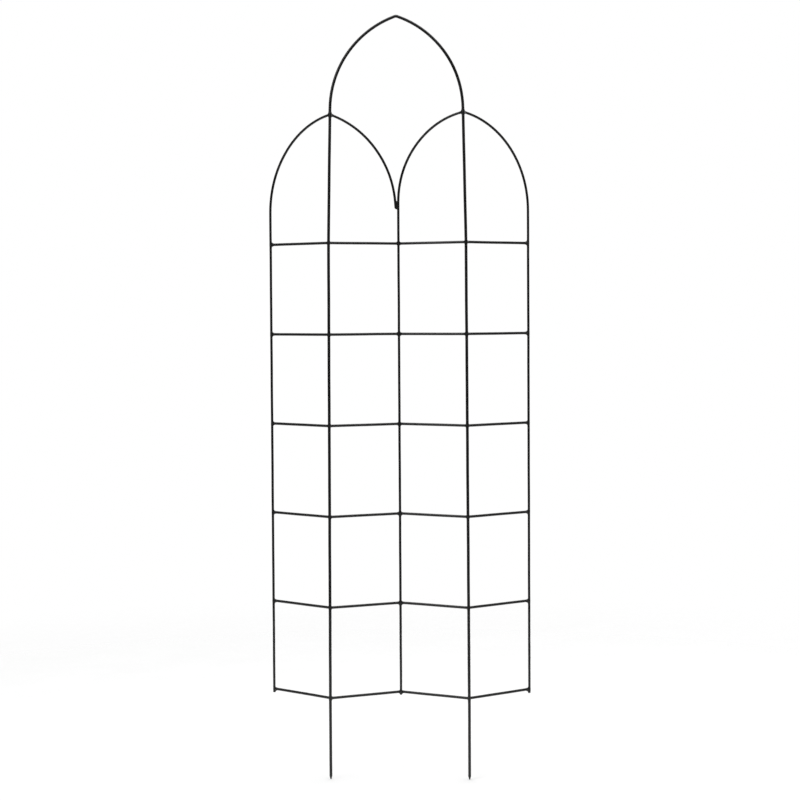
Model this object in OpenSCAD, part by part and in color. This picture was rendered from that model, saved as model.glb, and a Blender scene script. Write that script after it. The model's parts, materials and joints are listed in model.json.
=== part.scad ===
// Folded garden trellis panel of welded round rod.
//
// Two legs and the top arch are one hoop. Two arch rods make the other three
// uprights and the two lower arches. Six crossbars, folded into a W, run behind
// all five uprights. Millimetres, Z up, spike tips on Z = 0, front towards -Y.

/* [Heights] */
// Straight ground spike, from its tip to where the leg starts to close in
spike_h = 180; // [120:5:300]
// From the top of the spike to the lowest crossbar
first_row_lift = 16; // [14:1:60]
// Number of crossbars
row_count = 6; // [2:1:8]
// From one crossbar to the next
row_pitch = 219; // [120:1:280]
// From the top crossbar to the peak of the left arch
lower_arch_lift = 304; // [280:1:420]
// How much higher the peak of the right arch stands, as the hand-made panel has it
right_arch_rise = 4; // [-8:1:8]
// From the peak of the left arch to the peak of the top arch
top_arch_lift = 231; // [190:1:330]
// How far the outer uprights run on below the lowest crossbar
outer_tail = 7; // [5:0.5:15]
// How far the middle upright runs on below the lowest crossbar
middle_tail = 4; // [3:0.5:15]

/* [Plan] */
// Width of each of the four flat facets, along its crossbars
facet_w = 185; // [150:1:230]
// Turn of the two inner facets from the panel's width
inner_fold = 26.5; // [15:0.5:35]
// Turn of the two outer facets from the panel's width
outer_fold = 38.5; // [20:0.5:45]
// How much each leg closes in between its spike and the top crossbar
leg_taper = 3.3; // [0:0.1:5]
// How much each leg closes in above the top crossbar, up to a lower arch's peak
leg_lean = 5.5; // [0:0.5:12]
// How far a crossbar runs on past the line where it crosses an outer upright
bar_overhang = 2; // [1:0.5:8]

/* [Rods] */
// Diameter of the leg hoop
leg_d = 7; // [5:0.5:8]
// Diameter of the two arch rods
arch_d = 6; // [5:0.5:8]
// Diameter of the crossbars
bar_d = 6.5; // [5:0.5:8]
// Radius of a fold, on the rod's centre line
fold_r = 10; // [9:1:14]
// Slope of a lower arch where it meets its peak, in degrees
lower_slope = 12; // [6:0.5:25]
// The same for the inner half of the left arch, which comes down to its foot
left_inner_slope = 18; // [12:0.5:25]
// Lean of the left arch's foot towards the middle upright, in degrees
foot_lean = 5; // [2:0.5:8]
// Slope of the top arch where it meets its peak, in degrees
top_slope = 20; // [10:1:30]
// Length of the blunt point on a spike
point_h = 8; // [4:1:20]
// Diameter of the flat end of a spike
point_d = 2.5; // [1:0.5:4]

/* [Welds] */
// Space between two rods that cross, filled by their weld
weld_gap = 0.2; // [0.1:0.05:0.4]
// Radius of the weld at a crossbar
weld_r = 5.6; // [5.2:0.1:7]
// Thickness of the weld at a crossbar
weld_t = 4.2; // [3:0.2:5]
// Radius of the weld at the peak of a lower arch
peak_weld_r = 7.4; // [6:0.2:9]
// Thickness of the weld at the peak of a lower arch
peak_weld_t = 4.6; // [3:0.2:5.4]
// Length of the weld at the foot of the left arch
foot_weld_l = 13; // [10:1:24]
// Radius of the weld at the foot of the left arch
foot_weld_r = 2.8; // [2:0.2:3.4]

/* [Hidden] */

rod_colour = "#1d1d1f";
weld_colour = "#262628";

// A bend is this much fuller than a straight run, which seats inside it by lap,
// and a spike's point is this much slimmer, seated inside the run.
bend_swell = 0.03;
lap = 0.3;
// A run's seam is turned this far from those of its bends, or they merge badly.
seam_turn = 45;
// Shortest straight run between two bends
min_run = 1;
// Bend radius of the slight kinks in a leg
kink_r = 1500;
section_fn = 48;
bend_fn = 180;

// Heights of the crossbars and of the arch peaks
bottom_z = spike_h + first_row_lift;
top_z = bottom_z + (row_count - 1) * row_pitch;
lower_peak_z = top_z + lower_arch_lift;
top_peak_z = lower_peak_z + top_arch_lift;

// Corners of the folded panel, on the crossbars' centre line, before it is centred front to back
leg_x = facet_w * cos(inner_fold);
outer_x = leg_x + facet_w * cos(outer_fold);
middle_y = facet_w * sin(inner_fold);
outer_y = facet_w * sin(outer_fold);

// Distance between the centre lines of two rods that cross
leg_stack = (leg_d + bar_d) / 2 + weld_gap;
arch_stack = (arch_d + bar_d) / 2 + weld_gap;
peak_stack = (leg_d + arch_d) / 2 + weld_gap;

// How far a fold's centre line cuts inside its corner, for a turn in degrees
function corner_cut(turn) = fold_r * (1 / cos(turn / 2) - 1);

leg_fold_turn = inner_fold + outer_fold;
middle_fold_turn = 2 * inner_fold;

// The legs stand in front of the crossbars' front folds, the middle upright
// inside their back fold, and the outer uprights in front of their ends.
leg_y = corner_cut(leg_fold_turn) - leg_stack;
middle_upright_y = middle_y - corner_cut(middle_fold_turn) - arch_stack;
outer_upright_x = outer_x + arch_stack * sin(outer_fold);
outer_upright_y = outer_y - arch_stack * cos(outer_fold);
bar_end_x = outer_x + bar_overhang * cos(outer_fold);
bar_end_y = outer_y + bar_overhang * sin(outer_fold);

// Front and back of the whole panel, and the shift that centres it on Y = 0
front_y = leg_y - leg_d / 2;
back_y = bar_end_y + bar_d / 2 * cos(outer_fold);
centre_y = (front_y + back_y) / 2;

foot_x = leg_x + leg_taper / 2;
waist_x = leg_x - leg_taper / 2;
lean_per_z = leg_lean / lower_arch_lift;

// Vector helpers
function unit(v) = v / norm(v);
function turn_between(a, b) = acos(max(-1, min(1, unit(a) * unit(b))));
function flip(p) = [-p.x, p.y, p.z];
function reversed(list) = [for (i = [len(list) - 1 : -1 : 0]) list[i]];

// Turn at corner i of a path, and how far its bend reaches along each side
function corner_turn(path, i) = turn_between(path[i] - path[i - 1], path[i + 1] - path[i]);
function reach(path, radii, i) =
    i == 0 || i == len(path) - 1 ? 0 : radii[i] * tan(corner_turn(path, i) / 2);

// The straight run from corner i to corner i + 1, seated in the bends at its ends
module straight_run(path, radii, i, d) {
    along = unit(path[i + 1] - path[i]);
    start = reach(path, radii, i) - (i == 0 ? 0 : lap);
    stop = reach(path, radii, i + 1) - (i + 1 == len(path) - 1 ? 0 : lap);
    tilt = acos(max(-1, min(1, along.z)));
    heading = atan2(along.y, along.x);
    translate(path[i] + along * start)
        rotate([0, tilt, heading])
            rotate(seam_turn)
                cylinder(d = d, h = norm(path[i + 1] - path[i]) - start - stop, $fn = section_fn);
}

// The round bend at corner i
module bend(path, radii, i, d) {
    before = unit(path[i] - path[i - 1]);
    after = unit(path[i + 1] - path[i]);
    inward = unit(after - before * (before * after));
    centre = path[i] - before * reach(path, radii, i) + inward * radii[i];
    axis = cross(-inward, before);
    multmatrix([
        [-inward.x, before.x, axis.x, centre.x],
        [-inward.y, before.y, axis.y, centre.y],
        [-inward.z, before.z, axis.z, centre.z],
        [0, 0, 0, 1]
    ])
        rotate_extrude(angle = corner_turn(path, i), $fn = bend_fn)
            translate([radii[i], 0])
                circle(d = d + 2 * bend_swell, $fn = section_fn);
}

// A round rod along a path of corners, each bent to its own radius
module rod(path, radii, d) {
    union() {
        for (i = [0 : len(path) - 2])
            straight_run(path, radii, i, d);
        for (i = [1 : len(path) - 2])
            bend(path, radii, i, d);
    }
}

// Room that the fold of a peak takes on each side of it, with a short straight run
function peak_room(peak_turn) = fold_r * tan(peak_turn / 2) + min_run;

// Radius that carries a bend from the corner between two points nearly to the
// second one, leaving room there for the fold of a peak that turns by peak_turn
function sweep_radius(from, corner, peak, peak_turn) =
    (norm(peak - corner) - peak_room(peak_turn))
    / tan(turn_between(corner - from, peak - corner) / 2);

// Leg hoop: corners of its right half, from the spike up to the top peak
hoop_peak_turn = 2 * top_slope;
hoop_peak = [0, leg_y, top_peak_z + corner_cut(hoop_peak_turn)];
hoop_point = [foot_x, leg_y, point_h];
hoop_kink = [foot_x, leg_y, spike_h];
hoop_waist = [waist_x, leg_y, top_z];
// The leg's line meets the slope of the top arch at the shoulder corner.
hoop_rise = (hoop_peak.z - top_z - waist_x * tan(top_slope)) / (1 - lean_per_z * tan(top_slope));
hoop_shoulder = [waist_x - hoop_rise * lean_per_z, leg_y, top_z + hoop_rise];
hoop_half = [hoop_point, hoop_kink, hoop_waist, hoop_shoulder];
hoop_arch_r = sweep_radius(hoop_waist, hoop_shoulder, hoop_peak, hoop_peak_turn);
hoop_half_radii = [0, kink_r, kink_r, hoop_arch_r];
hoop_path = concat(hoop_half, [hoop_peak], [for (p = reversed(hoop_half)) flip(p)]);
hoop_radii = concat(hoop_half_radii, [fold_r], reversed(hoop_half_radii));

// One lower arch: its peak touches the back of the leg at a height, and its two
// springing corners stand over the uprights that carry it
function spring_corner(peak, foot, slope) =
    [foot.x, foot.y, peak.z - norm([foot.x - peak.x, foot.y - peak.y]) * tan(slope)];
function peak_point(z, outer, inner, inner_slope) =
    let (
        touch = [leg_x_at(z), leg_y + peak_stack, z],
        to_outer = unit(spring_corner(touch, outer, lower_slope) - touch),
        to_inner = unit(spring_corner(touch, inner, inner_slope) - touch),
        cut = corner_cut(180 - turn_between(to_outer, to_inner))
    )
    touch - unit(to_outer + to_inner) * cut;
function arch_radii(path) =
    [
        0,
        sweep_radius(path[0], path[1], path[2], corner_turn(path, 2)),
        fold_r,
        sweep_radius(path[4], path[3], path[2], corner_turn(path, 2)),
        0
    ];

outer_foot = [outer_upright_x, outer_upright_y, bottom_z - outer_tail];
middle_foot = [0, middle_upright_y, bottom_z - middle_tail];
right_peak_z = lower_peak_z + right_arch_rise;
right_peak = peak_point(right_peak_z, outer_foot, middle_foot, lower_slope);
right_path = [
    outer_foot,
    spring_corner(right_peak, outer_foot, lower_slope),
    right_peak,
    spring_corner(right_peak, middle_foot, lower_slope),
    middle_foot
];

// The left arch is laid out on the right and mirrored. Its inner half ends in a
// straight tail as long as the foot weld, which leans in to the middle upright.
left_foot = [arch_d + weld_gap, middle_upright_y];
left_peak = peak_point(lower_peak_z, outer_foot, left_foot, left_inner_slope);
left_outer_corner = spring_corner(left_peak, outer_foot, lower_slope);
left_plan = [left_foot.x - left_peak.x, left_foot.y - left_peak.y];
left_peak_turn = turn_between(
    left_peak - left_outer_corner,
    spring_corner(left_peak, left_foot, left_inner_slope) - left_peak
);
tail_l = foot_weld_l + min_run;
// From the end of the foot to the last corner: the tail and the bend's reach
foot_to_corner =
    ((tail_l - peak_room(left_peak_turn)) * cos(left_inner_slope) + norm(left_plan))
    / (cos(left_inner_slope) + sin(foot_lean));
lean_in = foot_to_corner * sin(foot_lean);
left_inner_corner_z = left_peak.z - (norm(left_plan) - lean_in) * tan(left_inner_slope);
foot_end_z = left_inner_corner_z - foot_to_corner * cos(foot_lean);
left_base = [
    outer_foot,
    left_outer_corner,
    left_peak,
    [
        left_foot.x - unit(left_plan).x * lean_in,
        left_foot.y - unit(left_plan).y * lean_in,
        left_inner_corner_z
    ],
    [left_foot.x, left_foot.y, foot_end_z]
];
left_path = [for (p = left_base) flip(p)];

// Crossbar: its five corners in plan
bar_plan = [
    [-bar_end_x, bar_end_y],
    [-leg_x, 0],
    [0, middle_y],
    [leg_x, 0],
    [bar_end_x, bar_end_y]
];
bar_radii = [0, fold_r, fold_r, fold_r, 0];

function row_z(row) = top_z - (row - 1) * row_pitch;
function leg_x_at(z) =
    z >= top_z ? waist_x - (z - top_z) * lean_per_z
    : foot_x - leg_taper * max(0, z - spike_h) / (top_z - spike_h);

// Middles of the welds: halfway across the space between two rods that cross
leg_weld_y = leg_y + (leg_d + weld_gap) / 2;
middle_weld_y = middle_upright_y + (arch_d + weld_gap) / 2;
outer_weld_x = outer_x + (bar_d + weld_gap) / 2 * sin(outer_fold);
outer_weld_y = outer_y - (bar_d + weld_gap) / 2 * cos(outer_fold);

module centred() {
    translate([0, -centre_y, 0])
        children();
}

// The blunt point of a spike, with a short neck that seats in the leg
module spike_point() {
    neck_r = leg_d / 2 - bend_swell;
    rotate_extrude($fn = section_fn)
        polygon([
            [0, 0],
            [point_d / 2, 0],
            [neck_r, point_h - lap],
            [neck_r, point_h + lap],
            [0, point_h + lap]
        ]);
}

module leg_hoop() {
    color(rod_colour)
        centred()
            union() {
                rod(hoop_path, hoop_radii, leg_d);
                for (side = [-1, 1])
                    translate([side * foot_x, leg_y, 0])
                        spike_point();
            }
}

module left_arch_rod() {
    color(rod_colour)
        centred()
            rod(left_path, arch_radii(left_path), arch_d);
}

module right_arch_rod() {
    color(rod_colour)
        centred()
            rod(right_path, arch_radii(right_path), arch_d);
}

module crossbar(row) {
    color(rod_colour)
        centred()
            rod([for (p = bar_plan) [p.x, p.y, row_z(row)]], bar_radii, bar_d);
}

// A round-edged disc of weld metal, its axis along Z
module weld_disc(r, t) {
    rotate_extrude($fn = section_fn)
        union() {
            translate([0, -t / 2])
                square([r - t / 2, t]);
            translate([r - t / 2, 0])
                intersection() {
                    circle(d = t, $fn = section_fn);
                    translate([0, -t])
                        square([t, 2 * t]);
                }
        }
}

// A weld disc at a point, facing a heading in plan
module crossing_weld(at, heading, r, t) {
    translate(at)
        rotate([0, 90, heading])
            weld_disc(r, t);
}

module crossbar_welds(row) {
    z = row_z(row);
    color(weld_colour)
        difference() {
            centred() {
                for (side = [-1, 1]) {
                    crossing_weld([side * leg_x_at(z), leg_weld_y, z], 90, weld_r, weld_t);
                    crossing_weld(
                        [side * outer_weld_x, outer_weld_y, z],
                        90 + side * outer_fold,
                        weld_r,
                        weld_t
                    );
                }
                crossing_weld([0, middle_weld_y, z], 90, weld_r, weld_t);
            }
            crossbar(row);
            leg_hoop();
            left_arch_rod();
            right_arch_rod();
        }
}

module peak_weld(side, z) {
    color(weld_colour)
        difference() {
            centred()
                crossing_weld([side * leg_x_at(z), leg_weld_y, z], 90, peak_weld_r, peak_weld_t);
            leg_hoop();
            left_arch_rod();
            right_arch_rod();
        }
}

// A bead with round ends, in the groove between the middle upright and the
// left arch's tail, halfway between their centre lines
module arch_foot_weld() {
    side_h = foot_weld_l - 2 * foot_weld_r;
    tail_lean_x = foot_weld_l / 2 * sin(foot_lean);
    color(weld_colour)
        difference() {
            centred()
                translate([-(left_foot.x + tail_lean_x) / 2, middle_upright_y, foot_end_z + foot_weld_l / 2])
                    rotate_extrude($fn = section_fn)
                        union() {
                            translate([0, -side_h / 2])
                                square([foot_weld_r, side_h]);
                            for (end = [-1, 1])
                                translate([0, end * side_h / 2])
                                    intersection() {
                                        circle(r = foot_weld_r, $fn = section_fn);
                                        translate([0, -foot_weld_r])
                                            square([foot_weld_r, 2 * foot_weld_r]);
                                    }
                        }
            left_arch_rod();
            right_arch_rod();
        }
}

leg_hoop();
left_arch_rod();
right_arch_rod();
for (row = [1 : row_count]) {
    crossbar(row);
    crossbar_welds(row);
}
peak_weld(-1, lower_peak_z);  // left_peak_weld
peak_weld(1, right_peak_z);  // right_peak_weld
arch_foot_weld();
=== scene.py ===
"""Folded garden trellis panel: rods swept afresh along the CAD model's own
centre lines, weld metal grown between them, and a satin black powder coat."""

import json
import math

import bpy
import numpy as np
from mathutils import Matrix, Vector


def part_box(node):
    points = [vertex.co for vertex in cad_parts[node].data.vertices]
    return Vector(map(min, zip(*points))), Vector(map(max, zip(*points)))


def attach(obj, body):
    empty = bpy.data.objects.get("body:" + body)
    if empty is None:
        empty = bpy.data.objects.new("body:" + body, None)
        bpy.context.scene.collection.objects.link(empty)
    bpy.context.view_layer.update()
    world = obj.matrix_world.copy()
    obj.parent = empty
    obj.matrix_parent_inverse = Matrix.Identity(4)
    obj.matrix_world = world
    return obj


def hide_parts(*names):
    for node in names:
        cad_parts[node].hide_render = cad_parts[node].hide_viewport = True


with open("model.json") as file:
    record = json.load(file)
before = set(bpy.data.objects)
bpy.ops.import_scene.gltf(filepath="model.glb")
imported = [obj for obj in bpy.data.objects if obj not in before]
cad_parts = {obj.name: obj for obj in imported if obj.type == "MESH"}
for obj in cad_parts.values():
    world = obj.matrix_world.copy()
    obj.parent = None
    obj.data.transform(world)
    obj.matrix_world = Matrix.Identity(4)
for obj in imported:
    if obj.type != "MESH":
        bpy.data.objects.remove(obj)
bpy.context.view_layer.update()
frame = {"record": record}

# ------------------------------------------------------------------ sizes
# Metres and degrees, as the CAD model has them. Places come from the frame.

ROWS = range(1, 7)
LEG_R = 0.0035
ARCH_R = 0.003
BAR_R = 0.00325
WELD_GAP = 0.0002
FOLD_R = 0.010
KINK_R = 1.5
MIN_RUN = 0.001
BEND_SWELL = 0.00003

INNER_FOLD = 26.5
OUTER_FOLD = 38.5
LOWER_SLOPE = 12
LEFT_INNER_SLOPE = 18
FOOT_LEAN = 5
TOP_SLOPE = 20
FACET_W = 0.185
BAR_OVERHANG = 0.002
LEG_TAPER = 0.0033
MIDDLE_TAIL = 0.004
FOOT_WELD_L = 0.013
POINT_H = 0.008
POINT_R = 0.00125
SPIKE_ABOVE = 0.016

# Detail that only the looks need
ROD_SIDES = 28
RUN_STEP = 0.012
BEND_STEP = 3
ROUND_ANGLES = (0, 30, 60, 90)
CUT_ROUND = 0.0005
TIP_ROUND = 0.0007
TIP_FLAT = 0.35
RING_GAP = 0.001
# Hand-bending waves: their size, their lengths, and how far from an end they fade in
WAVE = 0.00015
WAVE_LENGTHS = (0.41, 0.23, 0.13)
WAVE_EASE = 0.08

# Weld metal: how far it reaches, how it fills in, and how proud it stands
CROSS_WELD_R = 0.0074
CROSS_FILLET = 0.0068
CROSS_BUILD_UP = 0.0003
PEAK_WELD_R = 0.0096
PEAK_FILLET = 0.0084
PEAK_BUILD_UP = 0.0005
FOOT_WELD_R = 0.0056
FOOT_FILLET = 0.005
FOOT_BUILD_UP = 0.0005
WELD_SHIFT = 0.0003
# It stops at this share of its radius, and both its edge and its skin are lumpy.
WELD_EDGE = 1.12
EDGE_LUMP = 0.0006
EDGE_LUMP_LENGTH = 0.006
SKIN_LUMP = 0.0002
SKIN_LUMP_LENGTH = 0.0028
LUMP_WAVES = 7
# A rod is followed this far past the reach of its weld.
ROD_MARGIN = 0.012
WELD_CELL = 0.00042
WELD_MARGIN = 0.0016

# Coating: features to the metre, and depths in metres
DRIFT_SCALE = 22
CLOUD_SCALE = 170
PEEL_SCALE = 620
SPECK_SCALE = 700
GRAIN_SCALE = 2600
PEEL_DEPTH = 0.0002
GRAIN_DEPTH = 0.00002
COAT_SPECULAR = 0.42

# Stage: the floor fades out between two distances from the origin.
FLOOR_R = 4.0
FLOOR_SIDES = 96
FADE_FROM = 0.48
FADE_TO = 3.0
WORLD_SEEN = 1.0
WORLD_LIGHT = 0.12
# Softboxes: name, place, side and power
SOFTBOXES = (
    ("key_softbox", (-2.6, -2.6, 3.0), 1.4, 42),
    ("fill_softbox", (3.4, 2.2, 2.2), 1.2, 24),
    ("top_softbox", (0.0, 0.2, 5.2), 7.0, 410),
)
AIM_Z = 0.9
# Camera: place in metres, turns in degrees, lens in millimetres, fitted to the photo
CAMERA_AT = (0.1887, -4.7939, 1.1345)
CAMERA_YAW = 2.225
CAMERA_PITCH = 2.422
CAMERA_ROLL = 0.328
LENS = 89.28
SHIFT_Y = -0.01

SEED = 74

# ------------------------------------------------------------------ lines


def unit(v):
    return v / np.linalg.norm(v)


def tan(degrees):
    return math.tan(math.radians(degrees))


def cos(degrees):
    return math.cos(math.radians(degrees))


def sin(degrees):
    return math.sin(math.radians(degrees))


def turn_between(a, b):
    """Angle between two directions, in degrees."""
    return math.degrees(math.acos(max(-1.0, min(1.0, float(unit(a) @ unit(b))))))


def corner_cut(turn):
    """How far a fold's centre line cuts inside its corner."""
    return FOLD_R * (1 / cos(turn / 2) - 1)


def peak_room(turn):
    """Room that the fold of a peak takes on each side of it."""
    return FOLD_R * tan(turn / 2) + MIN_RUN


def sweep_radius(start, corner, peak, peak_turn):
    """Radius that carries a bend from a corner nearly up to a peak."""
    reach = np.linalg.norm(peak - corner) - peak_room(peak_turn)
    return reach / tan(turn_between(corner - start, peak - corner) / 2)


def flip(p):
    return np.array([-p[0], p[1], p[2]])


def centre_line(corners, radii):
    """Points along a path of corners, each rounded to its own radius."""
    corners = [np.array(c, float) for c in corners]
    line = [corners[0]]

    def run_to(point):
        start = line[-1]
        count = max(1, round(np.linalg.norm(point - start) / RUN_STEP))
        for k in range(1, count + 1):
            line.append(start + (point - start) * k / count)

    for before, corner, after, radius in zip(corners, corners[1:], corners[2:], radii[1:]):
        into = unit(corner - before)
        out = unit(after - corner)
        turn = turn_between(into, out)
        reach = radius * tan(turn / 2)
        inward = unit(out - into * (into @ out))
        centre = corner - into * reach + inward * radius
        run_to(corner - into * reach)
        count = max(2, math.ceil(turn / BEND_STEP), round(radius * math.radians(turn) / RUN_STEP))
        for k in range(1, count + 1):
            angle = turn * k / count
            line.append(centre - inward * radius * cos(angle) + into * radius * sin(angle))
    run_to(corners[-1])
    return np.array(line)


# ------------------------------------------------------------------ places


def middle_of(node):
    low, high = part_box(node)
    return (low + high) / 2


row_z = {row: middle_of(f"crossbar_{row}").z for row in ROWS}
top_z = row_z[ROWS[0]]
bottom_z = row_z[ROWS[-1]]
outer_end_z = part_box("right_arch_rod")[0].z
middle_end_z = bottom_z - MIDDLE_TAIL
left_peak = middle_of("left_peak_weld")
right_peak = middle_of("right_peak_weld")
top_peak_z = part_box("leg_hoop")[1].z - LEG_R - BEND_SWELL

spike = next(m for m in frame["record"]["mounts"] if m["name"] == "right_spike")
foot_x, leg_y = spike["pos_m"][:2]
waist_x = foot_x - LEG_TAPER
lean_per_z = (waist_x - right_peak.x) / (right_peak.z - top_z)

leg_stack = LEG_R + BAR_R + WELD_GAP
arch_stack = ARCH_R + BAR_R + WELD_GAP
peak_stack = LEG_R + ARCH_R + WELD_GAP

# The crossbars' corners in plan: the legs stand in front of their front folds.
fold_x = FACET_W * cos(INNER_FOLD)
fold_y = leg_y + leg_stack - corner_cut(INNER_FOLD + OUTER_FOLD)
back_y = fold_y + FACET_W * sin(INNER_FOLD)
outer_x = fold_x + FACET_W * cos(OUTER_FOLD)
outer_y = fold_y + FACET_W * sin(OUTER_FOLD)
bar_end_x = outer_x + BAR_OVERHANG * cos(OUTER_FOLD)
bar_end_y = outer_y + BAR_OVERHANG * sin(OUTER_FOLD)
middle_upright_y = back_y - corner_cut(2 * INNER_FOLD) - arch_stack
outer_upright_x = outer_x + arch_stack * sin(OUTER_FOLD)
outer_upright_y = outer_y - arch_stack * cos(OUTER_FOLD)


def leg_x_at(z):
    if z >= top_z:
        return waist_x - (z - top_z) * lean_per_z
    spike_top = bottom_z - SPIKE_ABOVE
    return foot_x - LEG_TAPER * max(0, z - spike_top) / (top_z - spike_top)


def hoop_line():
    """Centre line of the leg hoop, from one spike over the top to the other."""
    peak_turn = 2 * TOP_SLOPE
    peak = np.array([0, leg_y, top_peak_z + corner_cut(peak_turn)])
    rise = (peak[2] - top_z - waist_x * tan(TOP_SLOPE)) / (1 - lean_per_z * tan(TOP_SLOPE))
    half = [
        np.array([foot_x, leg_y, 0]),
        np.array([foot_x, leg_y, bottom_z - SPIKE_ABOVE]),
        np.array([waist_x, leg_y, top_z]),
        np.array([waist_x - rise * lean_per_z, leg_y, top_z + rise]),
    ]
    radii = [0, KINK_R, KINK_R, sweep_radius(half[2], half[3], peak, peak_turn)]
    corners = half + [peak] + [flip(p) for p in reversed(half)]
    return centre_line(corners, radii + [FOLD_R] + radii[::-1])


def spring_corner(peak, foot, slope):
    run = math.hypot(foot[0] - peak[0], foot[1] - peak[1])
    return np.array([foot[0], foot[1], peak[2] - run * tan(slope)])


def peak_point(z, outer, inner, inner_slope):
    """Corner of an arch rod's peak, which touches the back of the leg at a height."""
    touch = np.array([leg_x_at(z), leg_y + peak_stack, z])
    to_outer = unit(spring_corner(touch, outer, LOWER_SLOPE) - touch)
    to_inner = unit(spring_corner(touch, inner, inner_slope) - touch)
    cut = corner_cut(180 - turn_between(to_outer, to_inner))
    return touch - unit(to_outer + to_inner) * cut


def arch_line(corners):
    peak_turn = turn_between(corners[2] - corners[1], corners[3] - corners[2])
    outer_r = sweep_radius(corners[0], corners[1], corners[2], peak_turn)
    inner_r = sweep_radius(corners[4], corners[3], corners[2], peak_turn)
    return centre_line(corners, [0, outer_r, FOLD_R, inner_r, 0])


def right_arch_line():
    outer = np.array([outer_upright_x, outer_upright_y, outer_end_z])
    middle = np.array([0, middle_upright_y, middle_end_z])
    peak = peak_point(right_peak.z, outer, middle, LOWER_SLOPE)
    outer_corner = spring_corner(peak, outer, LOWER_SLOPE)
    inner_corner = spring_corner(peak, middle, LOWER_SLOPE)
    return arch_line([outer, outer_corner, peak, inner_corner, middle])


def left_arch_corners():
    """Corners of the left arch rod, whose foot leans in to the middle upright."""
    outer = np.array([outer_upright_x, outer_upright_y, outer_end_z])
    foot = np.array([2 * ARCH_R + WELD_GAP, middle_upright_y])
    peak = peak_point(left_peak.z, outer, foot, LEFT_INNER_SLOPE)
    outer_corner = spring_corner(peak, outer, LOWER_SLOPE)
    plan = foot - peak[:2]
    run = np.linalg.norm(plan)
    inner_corner = spring_corner(peak, foot, LEFT_INNER_SLOPE)
    peak_turn = turn_between(peak - outer_corner, inner_corner - peak)
    tail = FOOT_WELD_L + MIN_RUN - peak_room(peak_turn)
    to_corner = (tail * cos(LEFT_INNER_SLOPE) + run) / (cos(LEFT_INNER_SLOPE) + sin(FOOT_LEAN))
    lean_in = to_corner * sin(FOOT_LEAN)
    corner_z = peak[2] - (run - lean_in) * tan(LEFT_INNER_SLOPE)
    inner_corner = np.array([*(foot - unit(plan) * lean_in), corner_z])
    foot_end = np.array([*foot, corner_z - to_corner * cos(FOOT_LEAN)])
    return [flip(p) for p in (outer, outer_corner, peak, inner_corner, foot_end)]


def crossbar_line(row):
    half = [(bar_end_x, bar_end_y), (fold_x, fold_y)]
    plan = [(-x, y) for x, y in half] + [(0, back_y)] + half[::-1]
    corners = [np.array([x, y, row_z[row]]) for x, y in plan]
    return centre_line(corners, [0, FOLD_R, FOLD_R, FOLD_R, 0])


# ------------------------------------------------------------------ meshes


def new_piece(name, verts, faces, material, slot, replaced):
    mesh = bpy.data.meshes.new(name)
    mesh.from_pydata(np.asarray(verts).tolist(), [], faces)
    mesh.update()
    mesh.materials.append(material)
    piece = bpy.data.objects.new(name, mesh)
    bpy.context.collection.objects.link(piece)
    mesh.shade_smooth()
    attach(piece, "root")
    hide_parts(replaced)
    return piece


def length_along(line):
    """Distance from the start of a line to each of its points."""
    return np.r_[0, np.cumsum(np.linalg.norm(np.diff(line, axis=0), axis=1))]


def points_at(at, along, line):
    """Points of a line at given distances from its start."""
    return np.column_stack([np.interp(at, along, line[:, axis]) for axis in range(3)])


def waved(line, amount, rng):
    """The same line with the slight waves that hand bending leaves, ends kept."""
    along = length_along(line)
    from_end = np.minimum(along, along[-1] - along)
    ease = np.sin(np.clip(from_end / WAVE_EASE, 0, 1) * math.pi / 2)
    push = np.zeros_like(line)
    for length in WAVE_LENGTHS:
        for axis in range(3):
            phase = rng.uniform(0, 2 * math.pi)
            push[:, axis] += np.sin(along * 2 * math.pi / length + phase)
    return line + push * (amount / len(WAVE_LENGTHS) * ease)[:, None]


def with_ends(line, radius, start, stop):
    """Rings of a rod: each end's profile, then the line between them. A profile
    lists (distance from the end, radius), nearest the end first."""
    along = length_along(line)
    total = along[-1]
    first = start[-1][0] + RING_GAP
    last = total - stop[-1][0] - RING_GAP
    rings = list(start)
    rings += [(s, radius) for s in along[(along > first) & (along < last)]]
    rings += [(total - s, r) for s, r in reversed(stop)]
    at = np.array([s for s, _ in rings])
    return points_at(at, along, line), np.array([r for _, r in rings])


def rod_mesh(points, radii):
    """Skin of a rod through points, with a frame that never twists."""
    tangents = np.gradient(points, axis=0)
    tangents /= np.linalg.norm(tangents, axis=1)[:, None]
    side = unit(np.cross(tangents[0], [0.31, 0.87, 0.38]))
    angles = np.linspace(0, 2 * math.pi, ROD_SIDES, endpoint=False)
    verts = []
    for point, tangent, radius in zip(points, tangents, radii):
        side = unit(side - tangent * (side @ tangent))
        up = np.cross(tangent, side)
        ring = np.outer(np.cos(angles), side) + np.outer(np.sin(angles), up)
        verts.append(point + ring * radius)
    faces = []
    for i in range(len(points) - 1):
        for j in range(ROD_SIDES):
            k = (j + 1) % ROD_SIDES
            a = i * ROD_SIDES
            b = a + ROD_SIDES
            faces.append((a + j, a + k, b + k, b + j))
    last = (len(points) - 1) * ROD_SIDES
    faces.append(tuple(reversed(range(ROD_SIDES))))
    faces.append(tuple(range(last, last + ROD_SIDES)))
    return np.concatenate(verts), faces


def cut_end(radius):
    """A sheared end, its edge rounded by the coating."""
    return [(CUT_ROUND * (1 - cos(a)), radius - CUT_ROUND * (1 - sin(a))) for a in ROUND_ANGLES]


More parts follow.
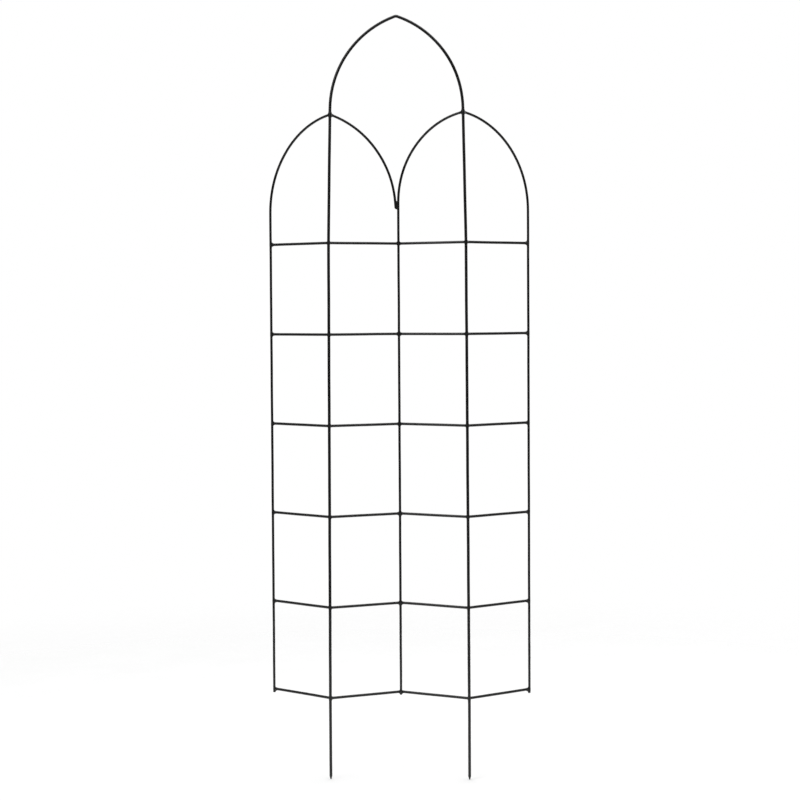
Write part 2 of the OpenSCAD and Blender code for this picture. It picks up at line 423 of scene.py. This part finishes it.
def spike_end():
    """A blunt point: a small rounded nose, then a cone up to the full rod."""
    nose = [
        (TIP_ROUND * (1 - cos(a)), POINT_R * (TIP_FLAT + (1 - TIP_FLAT) * sin(a)))
        for a in ROUND_ANGLES
    ]
    cone = [(POINT_H * t, POINT_R + (LEG_R - POINT_R) * t) for t in (0.3, 0.55, 0.8)]
    shoulder = [(POINT_H * 0.95, LEG_R * 0.975), (POINT_H * 1.08, LEG_R * 0.998)]
    return nose + cone + shoulder + [(POINT_H * 1.3, LEG_R)]


# ------------------------------------------------------------------ weld metal


def rod_distance(points, line, radius):
    """Signed distance from points to a rod along a short line."""
    start, step = line[:-1], np.diff(line, axis=0)
    away = points[:, None, :] - start[None]
    share = np.clip((away * step).sum(2) / (step * step).sum(1), 0, 1)
    return np.linalg.norm(away - share[..., None] * step, axis=2).min(1) - radius


def near(line, place, reach):
    """The stretch of a line around a place, running past it on both sides."""
    close = np.nonzero(np.linalg.norm(line - place, axis=1) < reach)[0]
    first = max(0, close[0] - 1)
    return line[first : close[-1] + 2]


def cut_back(line, amount):
    """The same line, shorter by an amount at both ends."""
    along = length_along(line)
    inner = (along > amount) & (along < along[-1] - amount)
    at = np.r_[amount, along[inner], along[-1] - amount]
    return points_at(at, along, line)


def lumps(points, height, length, rng):
    """Smooth random lumps, as weld metal leaves when it sets."""
    total = np.zeros(len(points))
    for _ in range(LUMP_WAVES):
        wave = unit(rng.normal(size=3)) * 2 * math.pi / (length * rng.uniform(0.7, 1.4))
        total += np.sin(points @ wave + rng.uniform(0, 2 * math.pi))
    return total * height / LUMP_WAVES


def net_surface(field, low, cell):
    """Quads around the zero surface of a field on a grid, inside negative."""
    inside = field < 0
    shape = np.array(field.shape) - 1
    corner = [(i, j, k) for i in (0, 1) for j in (0, 1) for k in (0, 1)]

    def block(array, offset):
        i, j, k = offset
        return array[i : i + shape[0], j : j + shape[1], k : k + shape[2]]

    count = sum(block(inside, c).astype(int) for c in corner)
    cut = (count > 0) & (count < 8)
    number = -np.ones(cut.shape, int)
    number[cut] = np.arange(cut.sum())
    total = np.zeros((cut.sum(), 3))
    hits = np.zeros(cut.sum())
    for a in corner:
        for axis in range(3):
            if a[axis]:
                continue
            b = tuple(v + (n == axis) for n, v in enumerate(a))
            fa, fb = block(field, a)[cut], block(field, b)[cut]
            crossed = (fa < 0) != (fb < 0)
            share = np.where(crossed, fa / np.where(crossed, fa - fb, 1), 0)
            spot = np.tile(np.array(a, float), (len(fa), 1))
            spot[:, axis] += share
            total[crossed] += spot[crossed]
            hits[crossed] += 1
    verts = low + (np.argwhere(cut) + total / hits[:, None]) * cell
    faces = []
    for axis in range(3):
        u, v = [n for n in range(3) if n != axis]
        step = np.eye(3, dtype=int)
        first = inside[tuple(slice(0, -1) if n == axis else slice(1, -1) for n in range(3))]
        second = inside[tuple(slice(1, None) if n == axis else slice(1, -1) for n in range(3))]
        for cell_at in np.argwhere(first != second):
            at = cell_at + step[u] + step[v]
            ring = [at - step[u] - step[v], at - step[v], at, at - step[u]]
            quad = [int(number[tuple(c)]) for c in ring]
            leaving = first[tuple(cell_at)]
            faces.append(quad if leaving == (axis != 1) else quad[::-1])
    return verts, faces


def weld_mesh(rods, places, radius, fillet, build_up, rng):
    """Weld metal that fills in between rods around one place, or along a short
    line of places. rods lists (centre line, radius)."""
    places = np.atleast_2d(places)
    low = places.min(0) - radius - WELD_MARGIN
    high = places.max(0) + radius + WELD_MARGIN
    size = np.ceil((high - low) / WELD_CELL).astype(int) + 1
    grid = np.stack(np.meshgrid(*[np.arange(n) for n in size], indexing="ij"), -1)
    points = low + grid.reshape(-1, 3) * WELD_CELL
    reach = radius + ROD_MARGIN
    away = [rod_distance(points, near(line, places.mean(0), reach), r) for line, r in rods]
    apart = np.abs(away[0] - away[1])
    joined = np.minimum(*away) - np.clip(1 - apart / fillet, 0, None) ** 2 * fillet / 4
    if len(places) == 1:
        middle = np.linalg.norm(points - places[0], axis=1)
    else:
        middle = rod_distance(points, places, 0)
    middle = middle + lumps(points, EDGE_LUMP, EDGE_LUMP_LENGTH, rng)
    skin = build_up * (1 - (middle / radius) ** 2)
    skin = skin + lumps(points, SKIN_LUMP, SKIN_LUMP_LENGTH, rng)
    field = np.maximum(joined - skin, middle - radius * WELD_EDGE)
    return net_surface(field.reshape(size), low, WELD_CELL)


# ------------------------------------------------------------------ coating


class Nodes:
    """A material's node tree, with short calls to add and join nodes."""

    def __init__(self, name):
        self.material = bpy.data.materials.new(name)
        self.material.use_nodes = True
        self.tree = self.material.node_tree
        self.shader = self.tree.nodes["Principled BSDF"]
        self.place = self.tree.nodes.new("ShaderNodeTexCoord").outputs["Object"]

    def add(self, kind, **inputs):
        node = self.tree.nodes.new("ShaderNode" + kind)
        for name, value in inputs.items():
            self.put(node.inputs[name.replace("_", " ")], value)
        return node

    def put(self, socket, value):
        if isinstance(value, bpy.types.NodeSocket):
            self.tree.links.new(value, socket)
        else:
            socket.default_value = value

    def noise(self, scale, detail):
        node = self.add("TexNoise", Vector=self.place, Scale=scale, Detail=detail)
        return node.outputs["Fac"]

    def ranged(self, value, low, high, to_low, to_high):
        node = self.add("MapRange", Value=value)
        for name, number in (
            ("From Min", low),
            ("From Max", high),
            ("To Min", to_low),
            ("To Max", to_high),
        ):
            node.inputs[name].default_value = number
        return node.outputs["Result"]

    def math(self, operation, a, b):
        node = self.add("Math")
        node.operation = operation
        self.put(node.inputs[0], a)
        self.put(node.inputs[1], b)
        return node.outputs[0]

    def times(self, a, b):
        return self.math("MULTIPLY", a, b)

    def plus(self, a, b):
        return self.math("ADD", a, b)

    def blend(self, share, a, b):
        node = self.tree.nodes.new("ShaderNodeMix")
        node.data_type = "RGBA"
        self.put(node.inputs["Factor"], share)
        colours = [n for n in node.inputs if n.type == "RGBA"]
        for socket, value in zip(colours, (a, b)):
            self.put(socket, value)
        return next(n for n in node.outputs if n.type == "RGBA")

    def bump(self, height, strength, distance, normal=None):
        node = self.add("Bump", Height=height, Strength=strength, Distance=distance)
        if normal:
            self.put(node.inputs["Normal"], normal)
        return node.outputs["Normal"]

    def facing_up(self, low, high):
        """How far a face looks upwards, from 0 at low to 1 at high."""
        normal = self.tree.nodes.new("ShaderNodeNewGeometry").outputs["Normal"]
        height = self.add("SeparateXYZ", Vector=normal).outputs["Z"]
        return self.ranged(height, low, high, 0.0, 1.0)


def grey(level, warmth=0.0):
    return (level * (1 + warmth), level, level * (1 - warmth), 1.0)


def coated(name, tone, gloss, peel):
    """Satin black powder coat: uneven tone and gloss, orange peel, and a trace
    of pale dust where a face looks up."""
    n = Nodes(name)
    drift = n.noise(DRIFT_SCALE, 3.0)
    cloud = n.noise(CLOUD_SCALE, 4.0)
    peel_height = n.noise(PEEL_SCALE, 1.0)
    grain = n.noise(GRAIN_SCALE, 2.0)
    base = n.blend(n.ranged(drift, 0.35, 0.65, 0.0, 1.0), grey(tone * 0.8), grey(tone * 1.15))
    base = n.blend(n.ranged(cloud, 0.45, 0.75, 0.0, 0.35), base, grey(tone * 1.6, 0.02))
    specks = n.add("TexVoronoi", Vector=n.place, Scale=SPECK_SCALE).outputs["Distance"]
    base = n.blend(n.ranged(specks, 0.03, 0.1, 0.5, 0.0), base, grey(tone * 3.5, 0.03))
    dust = n.times(n.facing_up(0.45, 0.95), n.ranged(cloud, 0.42, 0.7, 0.0, 0.2))
    base = n.blend(dust, base, grey(0.11, 0.05))
    n.put(n.shader.inputs["Base Color"], base)
    rough = n.ranged(n.plus(drift, cloud), 0.75, 1.25, gloss - 0.07, gloss + 0.07)
    rough = n.plus(rough, n.times(dust, 0.9))
    n.put(n.shader.inputs["Roughness"], rough)
    n.shader.inputs["Specular IOR Level"].default_value = COAT_SPECULAR
    fine = n.bump(grain, 0.3, GRAIN_DEPTH)
    n.put(n.shader.inputs["Normal"], n.bump(peel_height, peel, PEEL_DEPTH, fine))
    return n.material


rod_coat = coated("satin_black_coat", tone=0.006, gloss=0.34, peel=0.6)
weld_coat = coated("coated_weld_metal", tone=0.007, gloss=0.42, peel=0.9)

# ------------------------------------------------------------------ the trellis

rng = np.random.default_rng(SEED)

hoop = waved(hoop_line(), WAVE, rng)
left_arch = waved(arch_line(left_arch_corners()), WAVE, rng)
right_arch = waved(right_arch_line(), WAVE, rng)
crossbars = {row: waved(crossbar_line(row), WAVE, rng) for row in ROWS}


def make_rod(name, node, line, radius, ends):
    points, radii = with_ends(line, radius, ends, ends)
    verts, faces = rod_mesh(points, radii)
    rod = new_piece(name, verts, faces, rod_coat, "coated_rod", node)
    for cap in rod.data.polygons[-2:]:
        cap.use_smooth = False


def joined_meshes(parts):
    verts, faces, start = [], [], 0
    for part_verts, part_faces in parts:
        verts.append(part_verts)
        faces += [tuple(start + v for v in face) for face in part_faces]
        start += len(part_verts)
    return np.concatenate(verts), faces


def make_welds(name, node, welds):
    """One piece from welds, each (rods, places, radius, fillet, build-up)."""
    parts = [weld_mesh(*weld, rng) for weld in welds]
    new_piece(name, *joined_meshes(parts), weld_coat, "coated_weld", node)


def row_welds(row):
    """The five welds of a crossbar, each a little different."""
    z = row_z[row]
    bar = (cut_back(crossbars[row], BAR_R), BAR_R)
    out = BAR_R + WELD_GAP / 2
    crossings = []
    for side, outer in ((-1, left_arch), (1, right_arch)):
        at_leg = [side * leg_x_at(z), leg_y + LEG_R + WELD_GAP / 2, z]
        at_outer = [side * (outer_x + out * sin(OUTER_FOLD)), outer_y - out * cos(OUTER_FOLD), z]
        crossings.append((hoop, LEG_R, at_leg))
        crossings.append((outer, ARCH_R, at_outer))
    at_middle = [0, middle_upright_y + ARCH_R + WELD_GAP / 2, z]
    crossings.append((right_arch, ARCH_R, at_middle))
    return [
        (
            [(upright, radius), bar],
            np.array(place) + rng.normal(0, WELD_SHIFT, 3),
            CROSS_WELD_R * rng.uniform(0.92, 1.1),
            CROSS_FILLET * rng.uniform(0.85, 1.1),
            CROSS_BUILD_UP,
        )
        for upright, radius, place in crossings
    ]


def peak_weld(peak, arch):
    """The weld of a lower arch's peak to the back of its leg."""
    place = np.array([peak.x, leg_y + LEG_R + WELD_GAP / 2, peak.z])
    rods = [(hoop, LEG_R), (arch, ARCH_R)]
    return rods, place, PEAK_WELD_R, PEAK_FILLET, PEAK_BUILD_UP


def foot_weld():
    """The bead up the groove between the left arch's foot and the middle upright."""
    x, y, z = left_arch[-1]
    places = np.array([[x / 2, y, z + FOOT_WELD_L * share] for share in (0.15, 0.8)])
    rods = [(left_arch, ARCH_R), (right_arch, ARCH_R)]
    return rods, places, FOOT_WELD_R, FOOT_FILLET, FOOT_BUILD_UP


make_rod("hoop_rod", "leg_hoop", hoop, LEG_R, spike_end())
make_rod("left_arch_bent_rod", "left_arch_rod", left_arch, ARCH_R, cut_end(ARCH_R))
make_rod("right_arch_bent_rod", "right_arch_rod", right_arch, ARCH_R, cut_end(ARCH_R))
for row in ROWS:
    make_rod(f"row_{row}_bar", f"crossbar_{row}", crossbars[row], BAR_R, cut_end(BAR_R))
for row in ROWS:
    make_welds(f"row_{row}_weld_metal", f"crossbar_{row}_welds", row_welds(row))
make_welds("left_peak_weld_metal", "left_peak_weld", [peak_weld(left_peak, left_arch)])
make_welds("right_peak_weld_metal", "right_peak_weld", [peak_weld(right_peak, right_arch)])
make_welds("foot_weld_metal", "arch_foot_weld", [foot_weld()])

# ------------------------------------------------------------------ stage


def make_floor():
    """A pale disc that fades out into the white of the background."""
    bpy.ops.mesh.primitive_circle_add(vertices=FLOOR_SIDES, radius=FLOOR_R, fill_type="NGON")
    floor = bpy.context.object
    floor.name = "studio_floor"
    n = Nodes("pale_floor")
    n.shader.inputs["Roughness"].default_value = 0.85
    n.shader.inputs["Specular IOR Level"].default_value = 0.2
    mottle = n.ranged(n.noise(6.0, 3.0), 0.3, 0.7, 0.0, 1.0)
    n.put(n.shader.inputs["Base Color"], n.blend(mottle, grey(0.87), grey(0.9)))
    distance = n.add("VectorMath", Vector=n.place)
    distance.operation = "LENGTH"
    fade = n.add("MapRange", Value=distance.outputs["Value"])
    fade.interpolation_type = "SMOOTHSTEP"
    fade.inputs["From Min"].default_value = FADE_FROM
    fade.inputs["From Max"].default_value = FADE_TO
    clear = n.add("BsdfTransparent")
    mix = n.add("MixShader")
    n.put(mix.inputs[0], fade.outputs["Result"])
    n.put(mix.inputs[1], n.shader.outputs["BSDF"])
    n.put(mix.inputs[2], clear.outputs["BSDF"])
    n.put(n.tree.nodes["Material Output"].inputs["Surface"], mix.outputs[0])
    floor.data.materials.append(n.material)


def make_world():
    """White behind the trellis, and a dimmer light from all round on it."""
    world = bpy.data.worlds.new("studio")
    world.use_nodes = True
    tree = world.node_tree
    back = tree.nodes["Background"]
    back.inputs["Color"].default_value = (1, 1, 1, 1)
    seen = tree.nodes.new("ShaderNodeLightPath").outputs["Is Camera Ray"]
    strength = tree.nodes.new("ShaderNodeMapRange")
    strength.inputs["To Min"].default_value = WORLD_LIGHT
    strength.inputs["To Max"].default_value = WORLD_SEEN
    tree.links.new(seen, strength.inputs["Value"])
    tree.links.new(strength.outputs["Result"], back.inputs["Strength"])
    bpy.context.scene.world = world


def add_softbox(name, place, size, power):
    lamp = bpy.data.lights.new(name, "AREA")
    lamp.shape = "SQUARE"
    lamp.size = size
    lamp.energy = power
    box = bpy.data.objects.new(name, lamp)
    box.location = place
    aim = Vector((0, 0, AIM_Z)) - box.location
    box.rotation_euler = aim.to_track_quat("-Z", "Y").to_euler()
    box.visible_camera = False
    bpy.context.collection.objects.link(box)


def make_camera():
    data = bpy.data.cameras.new("camera")
    data.lens = LENS
    data.shift_y = SHIFT_Y
    camera = bpy.data.objects.new("camera", data)
    turn = Matrix.Rotation(math.radians(CAMERA_YAW), 4, "Z")
    tilt = Matrix.Rotation(math.radians(90 - CAMERA_PITCH), 4, "X")
    roll = Matrix.Rotation(math.radians(-CAMERA_ROLL), 4, "Z")
    camera.matrix_world = Matrix.Translation(CAMERA_AT) @ turn @ tilt @ roll
    bpy.context.collection.objects.link(camera)
    bpy.context.scene.camera = camera


make_floor()
make_world()
for softbox in SOFTBOXES:
    add_softbox(*softbox)
make_camera()
bpy.context.scene.view_settings.view_transform = "Standard"
